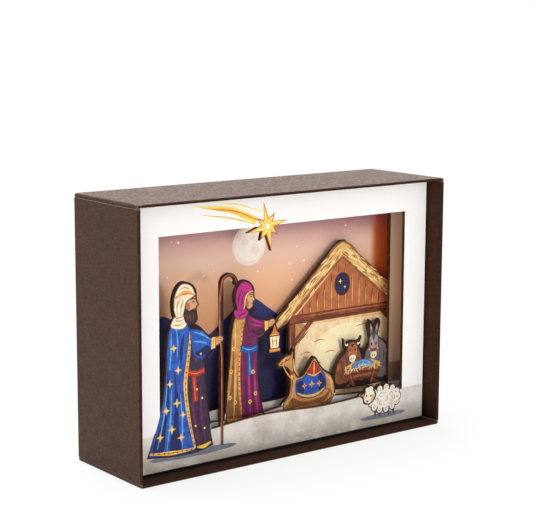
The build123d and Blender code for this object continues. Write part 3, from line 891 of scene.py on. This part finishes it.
camel = dict(
    at=(fromLeft(103), 16.5),
    sparks=[(-1.6, 13, 2), (3.6, 13.2, 2.2), (8.8, 13, 2)],
    fringe=range(-5, 13, 2),
)
camelArt = [
    ("ink", [(-16.6, 3.2, 1), (-12.2, 10, 1), (19.6, 10, 1), (19.4, 4.4), (16.6, 0.5, 1), (6.8, 0),
        (-6.8, 0), (-15.2, 0.4, 1)]),
    ("ochre", [(-18.7, 26.4, 1), (-15, 25.9), (-11.6, 23.2), (-11, 17.5), (-11.9, 9.6), (-16.2, 4),
        (-14.9, 0.9, 1), (-6.8, 0.6), (6.8, 0.5), (16.4, 1, 1), (19.1, 4.6), (19.2, 10.8), (16.6, 16.2),
        (12.2, 19.2), (8.7, 22.7), (5.1, 27.3), (1.4, 22.9), (-2.8, 18.7), (-6, 18.2), (-8.9, 21.7),
        (-9.8, 27), (-9.8, 31, 1), (-9.7, 33.4, 1), (-10.9, 31.4, 1), (-14.3, 31.1), (-17.8, 29.1),
        (-19.5, 27.2)]),
    ("ochreDark", [(-10.4, 7.4), (-4, 4.8), (6, 4.6), (14, 6.2), (17.4, 9.6), (14, 3.6), (4, 2), (-6, 2.2),
        (-12.5, 3)]),
    ("ochreDark", 0.9, [(-10.6, 9), (-14, 5.4), (-13.4, 2.6), (-6, 2.2)],
     [(9, 9.5), (15.5, 8.6), (18, 4.8), (15, 2.2), (8, 2)], [(-10.6, 22.6), (-10, 17.5), (-10.4, 11)],
     [(-18.6, 27.2), (-16.6, 27.4)]),
    ("ochreLight", 1.0, [(-9.2, 29), (-8.2, 22.8), (-5.8, 19.2)], [(14, 17), (17.4, 12.4), (18, 7.4)],
     [(-17, 28.6), (-14, 30)], [(-13, 7), (-14.6, 3.6)]),
    ("blue", [(-6.8, 17), (-3, 17.4), (1.2, 21.4), (5.1, 25.6), (8.9, 21.4), (12.2, 18), (13.2, 9.6),
        (8.6, 6.6), (-1.8, 6.4), (-6.9, 8.8)]),
    ("blueDark", [(-6, 15.6), (-3.4, 16), (-2.8, 8), (-5.8, 9.4)],
     [(9.4, 19), (11.6, 17), (12.2, 10), (9.6, 8.6)]),
    ("red", 0.7, *[[(x, 8.2 + abs(x - 3) * 0.12), (x + 0.1, 5 + abs(x - 3) * 0.12)]
                   for x in camel["fringe"]]),
    ("gold", 1.5, [(-6.4, 9.6), (-1.8, 7.5), (8.4, 7.6), (12.8, 10.2)]),
    ("red", [(-0.4, 19.6, 1), (2.6, 23.2), (5.1, 26), (7.6, 23.2), (10.4, 19.6, 1), (5, 17.6)]),
    ("gold", 0.8, [(-0.2, 19.7), (5, 17.9), (10.2, 19.7)], [(5.1, 25.4), (5, 18.2)]),
    ("gold", *[spark(*place) for place in camel["sparks"]]),
    ("red", *[ring(place[0], 13.1, 0.55, count=8) for place in camel["sparks"]]),
    ("ink", ring(-14.4, 29.2, 0.6, 0.6, 8)),
    ("red", 0.8, [(-17.2, 29.2), (-16.8, 26.3)], [(-16.9, 28), (-12.6, 29.2), (-10.4, 30.6)]),
    ("gold", 0.6, [(-16.8, 27), (-13, 21), (-8.4, 16.4)]),
    ("red", [(-11.9, 21.6, 1), (-9, 22.6, 1), (-8.8, 20.8, 1), (-11.6, 19.8, 1)]),
    ("gold", ring(-10.4, 19.2, 0.8, 1.1)),
]

middleSheet = startSheet("printMiddle", middleY, "middle_print")
drawLip(middleSheet, [0.2, 0.8, -0.6, -1.4, 0.2, 1.6, 1.0, -0.2, 0.6])
draw(middleSheet, bearer["at"], bearerArt)
draw(middleSheet, camel["at"], camelArt)
endSheet(middleSheet)

# stable

stable = dict(
    at=(fromRight(29), 23),
    slopes=[((-46, 39.6), (-1, 78.2)), ((44, 43.4), (1, 78.2))],
    straws=dict(
        tones=[("strawDark", 0.7), ("strawLight", 0.8), ("woodLight", 0.5), ("strawLight", 0.6)],
        count=17,  # of each tone on each slope
        down=(0, 0.88),  # share of the slope
        across=3.3,
        length=(3, 7),
        lean=0.9,
        bend=0.4,
    ),
)
stableWall = [
    ("plasterWarm", [(-37.2, 0.8, 1), (-37.2, 42, 1), (0, 74.4, 1), (45, 38.5, 1), (45, 0.8, 1)]),
    ("plaster", [(-30, 4), (-32, 22), (-26, 36), (-6, 38), (16, 38), (36, 34), (38, 18), (34, 4)]),
    ("glow", ring(4, 21, 24, 15, 18)),
    ("plasterShade", [(-36.8, 1), (-36.8, 12), (-33, 7), (-28, 3.4), (-22, 1)],
     [(-33.2, 39.6), (-26, 38), (-30, 34), (-33.4, 30)]),
    ("plasterShade", 0.7, [(-28, 10), (-24, 11), (-20, 10)], [(-22, 16), (-18, 16.6), (-15, 15.6)],
     [(-29, 22), (-25, 23), (-22, 22)], [(-20, 28), (-16, 28.8), (-12, 28)],
     [(-27, 5), (-21, 5.8), (-16, 5)], [(-14, 9), (-10, 9.6), (-7, 8.8)], [(-12, 21), (-8, 21.6), (-5, 21)],
     [(10, 33), (15, 33.8), (20, 33)]),
    ("woodLight", [(-33, 44, 1), (0, 73.4, 1), (37, 44, 1)]),
    ("woodDark", 0.7, *[[(x, 44.2), (x, 72 - abs(x) * (0.88 if x < 0 else 0.79))]
                        for x in range(-28, 34, 5) if abs(x) > 1]),
    ("straw", 0.6, *[[(x + 1.2, 45), (x + 1.2, 69 - abs(x) * 0.9)] for x in range(-24, 26, 5)]),
    ("ink", ring(-0.1, 58.4, 5.6, 6.6, 14)),
    ("hillNear", ring(-0.1, 58.4, 4.7, 5.7, 14)),
    ("goldLight", spark(-1.4, 60, 1.5), spark(1.8, 56.6, 1)),
    ("wood", bar(-37.3, 0.8, -33.4, 43), bar(41.4, 0.8, 45, 43), bar(-37, 39.8, 45, 44.4),
     *paired([(-33.6, 27, 1), (-33.6, 31, 1), (-24, 40, 1), (-20.4, 40, 1)], about=4)),
    ("woodLight", 0.8, [(-36.2, 2), (-36.4, 20), (-36.2, 39)], [(-34.6, 8), (-34.4, 28)],
     [(-30, 43), (0, 43.4), (40, 43)], [(-32, 29.8), (-26, 35.6)], [(42.6, 3), (42.4, 22), (42.6, 38)]),
    ("woodDark", 0.8, [(-35.4, 3), (-35.2, 18), (-35.6, 36)], [(-34, 12), (-34, 34)],
     [(-34, 40.8), (0, 41), (42, 40.6)], [(-20, 42), (-6, 42.2)], [(10, 42), (26, 42.2)],
     [(-31, 28.8), (-24, 35)], [(43.8, 3), (44, 20), (43.6, 38)]),
]
stableThatch = [
    ("strawDark", [(-48, 41.2, 1), (-33, 55), (-15.5, 70.9), (-1.4, 82.3), (0, 82.5, 1), (0, 72.6, 1),
        (-16, 60.4), (-37.4, 42.4), (-45.6, 37.9, 1)],
     [(0, 82.5, 1), (1.4, 82.3), (15.5, 70.7), (32, 57.3), (45.2, 47.4, 1), (45.2, 36.6, 1), (32, 47.4),
        (15.5, 60.2), (0, 72.6, 1)]),
    ("straw", [(-47, 41, 1), (-32, 54.6), (-14.5, 70.2), (-0.8, 81.4), (0, 81.6, 1), (0, 74.6, 1),
        (-16, 62.6), (-37, 44.8), (-45, 39, 1)],
     [(0, 81.6, 1), (0.8, 81.4), (14.6, 70.2), (32, 56), (44.6, 46.6, 1), (44.6, 39.4, 1), (32, 49.4),
        (15.5, 62.2), (0, 74.6, 1)]),
]


# straw lies along each slope in three tones
def drawThatch(sheet):
    draw(sheet, stable["at"], stableThatch)
    straws = stable["straws"]

    def either(reach):
        return chance.uniform(-reach, reach)

    for tone, width in straws["tones"]:
        lines = []
        for low, high in stable["slopes"]:
            low, high = Vector(low), Vector(high)
            down = (low - high).normalized()
            across = Vector((-down.y, down.x))
            for _ in range(straws["count"]):
                start = high.lerp(low, chance.uniform(*straws["down"])) + across * either(straws["across"])
                end = start + down * chance.uniform(*straws["length"]) + across * either(straws["lean"])
                middle = (start + end) / 2 + across * either(straws["bend"])
                lines.append([tuple(start), tuple(middle), tuple(end)])
        stroke(sheet, tone, stable["at"], width, *lines)


stableSheet = startSheet("printStable", stableY, "stable_print")
draw(stableSheet, stable["at"], stableWall)
drawThatch(stableSheet)
endSheet(stableSheet)

# ox, donkey and crib

manger = dict(
    at=(fromRight(17.5), 24),
    hay=dict(
        tones=("strawDark", "strawLight", "gold"),
        count=26,  # of each tone
        width=0.55,
        reach=12.5,
        foot=8.6,
        depth=2.2,  # at the middle, less towards the ends
        lessening=1 / 16,
        lean=2.4,
        rise=(-2.8, 2.4),
    ),
)
beastsArt = [
    ("oxBrown", [(-20, 7.6), (-17, 15.4), (-12, 19.4), (-10.8, 24, 1), (-7.2, 24.8), (-3.8, 24, 1),
        (-2.8, 20.4), (-1, 16), (-0.4, 6), (-8, 3), (-19.4, 3)]),
    ("cream", *paired([(-13.3, 26.4, 1), (-12.2, 23.8), (-10.7, 24.2, 1), (-11.2, 22.6), (-12.6, 23.2)],
        about=-7.3)),
    ("woodLight", [(-9.8, 22.6), (-4.8, 22.6), (-4.4, 17.4), (-7.3, 14.4), (-10.2, 17.4)]),
    ("cream", [(-9.8, 16.6), (-7.3, 17.6), (-4.8, 16.6), (-5.2, 13.8), (-7.3, 12.8), (-9.4, 13.8)]),
    ("ink", ring(-9.2, 20.2, 0.6, 0.75, 8), ring(-5.4, 20.2, 0.6, 0.75, 8), ring(-8.3, 15, 0.4, 0.5, 8),
     ring(-6.3, 15, 0.4, 0.5, 8)),
    ("woodDark", [(-8.8, 24.2), (-7.3, 24.8), (-5.8, 24.2), (-6.4, 22.6), (-7.3, 21.6), (-8.2, 22.6)]),
    ("ink", 0.5, [(-10.7, 23.4), (-10.8, 19.6), (-10.2, 15.4), (-7.3, 12.2), (-4.4, 15.4), (-3.8, 19.6),
        (-3.9, 23.4)]),
    ("woodDark", 0.8, [(-15.6, 15), (-14.6, 9.6), (-15, 4)], [(-12.4, 18.4), (-11.2, 12), (-11.4, 6)],
     [(-12.2, 20.2), (-10.6, 20.6)], [(-2.4, 20.4), (-4, 20.6)]),
    ("woodLight", 0.8, [(-18.2, 9), (-16.2, 13.8)], [(-9, 23.6), (-7.3, 24), (-5.6, 23.6)]),
    ("donkeyShade", [(5.4, 21), (6, 25.8), (5, 31), (5.6, 33.8, 1), (6.7, 32.6), (7.9, 28.8, 1),
        (8.7, 28.8, 1), (9.9, 32.6), (11, 33.8, 1), (11.7, 31), (10.6, 26), (14.4, 23), (18.6, 18.4),
        (20, 10.3), (18.8, 3), (8, 3), (2.6, 8), (2.8, 18)]),
    ("skin", 1.0, *paired([(5.9, 32.4), (6.5, 29.4)], about=8.3)),
    ("donkeyGrey", [(5.3, 25.6), (8.3, 28.2), (11.3, 25.6), (11.8, 21.4), (11, 16), (8.3, 12.8), (5.6, 16),
        (4.8, 21.4)]),
    ("greyDark", [(6.9, 28.6, 1), (9.7, 28.6, 1), (9.3, 25.6), (8.3, 23.4), (7.3, 25.6)]),
    ("cream", [(6, 16.6), (8.3, 17.6), (10.6, 16.6), (10.4, 14.2), (8.3, 13.1), (6.2, 14.2)]),
    ("ink", ring(6.7, 21.6, 0.6, 0.8, 8), ring(9.9, 21.6, 0.6, 0.8, 8), ring(7.4, 15, 0.4, 0.5, 8),
     ring(9.2, 15, 0.4, 0.5, 8)),
    ("red", 0.8, [(5.1, 18.6), (5, 21), (5.2, 24)], [(11.4, 18.6), (11.6, 21), (11.4, 24)]),
    ("red", [(5.2, 19.4, 1), (8.3, 18.6), (11.4, 19.4, 1), (11.3, 18.3, 1), (8.3, 17.5), (5.3, 18.3, 1)]),
    ("gold", ring(5.3, 18.8, 0.6, count=8), ring(11.3, 18.8, 0.6, count=8)),
    ("greyDark", 0.8, [(15.2, 20.6), (15.8, 14), (15, 6)], [(12.2, 23), (12.8, 17), (12, 10)]),
    ("cream", 0.8, [(17.6, 17.4), (18.8, 11), (18, 5)]),
]
cribArt = [
    ("straw", [(-13, 9.6), (-8, 12.4), (0, 13.6), (8, 12.6), (13.4, 9.8), (11, 6), (-11, 6)]),
    ("blueLight", [(-7, 11.6), (-2, 13.6), (4, 13.2), (8, 10.8), (9.4, 6.4, 1), (5.6, 5.8), (3.6, 8.6),
        (-3, 8.8), (-6.4, 5.6), (-9.2, 6.6, 1)]),
    ("blue", 0.7, [(-5.6, 10.8), (-0.8, 12), (4.4, 11.4)], [(-7.4, 7.6), (-4.6, 9.2)],
     [(6.8, 9.6), (7.6, 7)]),
    ("wood", [(-13.6, 8.4, 1), (13.6, 8.4, 1), (12.6, 5.6, 1), (-12.6, 5.6, 1)],
     [(-12.4, 5, 1), (12.4, 5, 1), (11.4, 2.4, 1), (-11.4, 2.4, 1)],
     *paired([(-11, 9.4, 1), (-8.6, 9.4, 1), (-5.2, -0.7, 1), (-7.6, -0.7, 1)],
             [(-7.4, 3, 1), (-5.6, 3, 1), (-10, -0.7, 1), (-12.2, -0.7, 1)])),
    ("woodLight", 0.7, [(-12.6, 7.7), (0, 7.9), (12.6, 7.7)], [(-11.6, 4.4), (0, 4.6), (11.6, 4.4)],
     *paired([(-9.8, 8.8), (-6.6, -0.2)])),
    ("woodDark", 0.6, [(-12, 6.2), (0, 6.4), (12, 6.2)], [(-11, 3), (0, 3.1), (11, 3)],
     [(-4, 7.2), (2, 7.3)], *paired([(-8.6, 9), (-5.4, -0.4)])),
]


def drawManger(sheet):
    draw(sheet, manger["at"], beastsArt)
    draw(sheet, manger["at"], cribArt)
    hay = manger["hay"]
    for tone in hay["tones"]:
        lines = []
        for _ in range(hay["count"]):
            x = chance.uniform(-hay["reach"], hay["reach"])
            z = hay["foot"] + chance.uniform(0, hay["depth"]) * (1 - abs(x) * hay["lessening"])
            lean = chance.uniform(-hay["lean"], hay["lean"])
            rise = chance.uniform(*hay["rise"])
            lines.append([(x, z), (x + lean * 0.6, z + rise * 0.7), (x + lean, z + rise)])
        stroke(sheet, tone, manger["at"], hay["width"], *lines)


mangerSheet = startSheet("printManger", mangerY, "manger_print")
drawManger(mangerSheet)
endSheet(mangerSheet)

# sky

sky = dict(
    moon=(-8, 108),
    moonSize=11,
    clear=14.14,  # no stars this near to the moon
    stars=34,
    across=(-92, 60),
    up=(84, 130),
    starSize=(0.5, 1.1),
)
skyArt = [
    ("moon", ring(*sky["moon"], sky["moonSize"], count=24)),
    ("moonPale", ring(-7.4, 108.6, 9.4, count=24)),
    ("moon", ring(-11, 110, 2.6, 1.8), ring(-4, 105, 3, 2), ring(-6, 112, 1.6, 1.2)),
    ("hillFar", [(-96, 60, 1), (-80, 66), (-64, 76), (-52, 70), (-38, 62), (-24, 70), (-8, 80), (6, 72),
        (22, 62), (40, 70), (60, 64), (80, 58), (96, 62, 1), (96, 30, 1), (-96, 30, 1)]),
    ("hillNear", [(-96, 48, 1), (-84, 54), (-72, 60), (-58, 54), (-44, 48), (-30, 52), (-14, 60), (4, 66),
        (20, 56), (38, 50), (58, 54), (78, 48), (96, 50, 1), (96, 12, 1), (-96, 12, 1)]),
]


def drawSky(sheet):
    draw(sheet, (0, 0), skyArt)
    stars = []
    for _ in range(sky["stars"]):
        place = (chance.uniform(*sky["across"]), chance.uniform(*sky["up"]))
        if math.dist(place, sky["moon"]) > sky["clear"]:
            stars.append(spark(*place, chance.uniform(*sky["starSize"]), 0.4))
    fill(sheet, "white", (0, 0), *stars)


skySheet = startSheet("printSky", skyY, "sky_print")
drawSky(skySheet)
endSheet(skySheet)
print("prints finished")

# light

lamps = dict(
    key=dict(size=0.6, power=23.0, place=(0.24, -2.65, 0.46)),
    top=dict(size=0.9, power=18.0, place=(-0.1, 0.25, 1.2)),
    fill=dict(size=0.8, power=1.4, place=(-1.25, -0.1, 0.5)),
    side=dict(size=0.8, power=3.0, place=(-1.5, -1.35, 0.5)),
    back=dict(size=1.2, power=12.0, place=(0.9, 1.2, 0.42)),
    high=dict(size=0.6, power=1.7, place=(-0.15, -1.0, 0.75)),
)
ambient = 0.26


# a square lamp, turned to the middle of the box
def areaLight(name, size, power, place):
    data = bpy.data.lights.new(name, "AREA")
    data.shape = "SQUARE"
    data.size = size
    data.energy = power
    lamp = bpy.data.objects.new(name, data)
    bpy.context.scene.collection.objects.link(lamp)
    lamp.location = place
    lamp.rotation_euler = (boxMiddle - Vector(place)).to_track_quat("-Z", "Y").to_euler()


for lampName, settings in lamps.items():
    areaLight(lampName + "Light", **settings)


def whiteRays():
    rays = addNode("LightPath").outputs
    return chain("MAXIMUM", *[rays[f"Is {kind} Ray"] for kind in ("Camera", "Glossy", "Transmission")])


world = bpy.data.worlds.new("studio")
bpy.context.scene.world = world
world.use_nodes = True
bench["tree"] = world.node_tree
surround = world.node_tree.nodes["Background"].inputs
feed(surround["Color"], (1, 1, 1, 1))
feed(surround["Strength"], maths("MULTIPLY_ADD", whiteRays(), 1 - ambient, ambient))

floorLook = dict(
    reach=6.0,
    drop=0.05 * mm,  # it lies this far below the box
    tone=(0.86, 0.86, 0.86, 1),
    nearGlow=0.82,  # white share beside the box, so that its shadow shows
    glowRise=(0.12, 0.55),  # distances over which that becomes all white
)


# plain white floor: shaded near the box, where its shadow falls, and evenly white further off
def paleFloor():
    made = bmesh.new()
    bmesh.ops.create_grid(made, x_segments=1, y_segments=1, size=floorLook["reach"])
    bmesh.ops.translate(made, verts=made.verts, vec=(0, 0, boxLow.z - floorLook["drop"]))
    mesh = bpy.data.meshes.new("floor")
    made.to_mesh(mesh)
    made.free()
    floor = bpy.data.objects.new("floor", mesh)
    bpy.context.scene.collection.objects.link(floor)
    material, shader = startMaterial("floor", 0.9, 0.1)
    feed(shader.inputs["Base Color"], floorLook["tone"])
    glow = addNode("Emission", {"Color": (1, 1, 1, 1), "Strength": 1})
    away = addNode("VectorMath", {0: bench["place"]}, operation="LENGTH").outputs["Value"]
    near = floorLook["nearGlow"]
    share = maths("MULTIPLY_ADD", ramp(away, *floorLook["glowRise"]), 1 - near, near)
    share = maths("MULTIPLY", whiteRays(), share)
    mixed = addNode("MixShader", {0: share, 1: shader.outputs[0], 2: glow.outputs[0]})
    feed(bench["tree"].nodes["Material Output"].inputs["Surface"], mixed.outputs[0])
    mesh.materials.append(material)


paleFloor()

# camera, at the photograph's viewing angle

view = dict(azimuth=-37.35, elevation=9.56, distance=0.7764, aim=(-23.22 * mm, 106 * mm), roll=0.218,
            focalPixels=1530.5, imageWidth=533)


def photoCamera():
    data = bpy.data.cameras.new("camera")
    data.sensor_width = 36
    data.lens = view["focalPixels"] / view["imageWidth"] * data.sensor_width
    data.clip_start = 0.01
    data.clip_end = 50
    camera = bpy.data.objects.new("camera", data)
    bpy.context.scene.collection.objects.link(camera)
    azimuth = math.radians(view["azimuth"])
    elevation = math.radians(view["elevation"])
    outward = Vector((math.sin(azimuth) * math.cos(elevation), -math.cos(azimuth) * math.cos(elevation),
                      math.sin(elevation)))
    aim = Vector((view["aim"][0], boxLow.y, view["aim"][1]))
    roll = Matrix.Rotation(math.radians(view["roll"]), 3, "Z")
    camera.location = aim + outward * view["distance"]
    camera.rotation_euler = ((-outward).to_track_quat("-Z", "Y").to_matrix() @ roll).to_euler()
    bpy.context.scene.camera = camera


photoCamera()
bpy.context.scene.view_settings.view_transform = "Standard"
print("light and camera set")
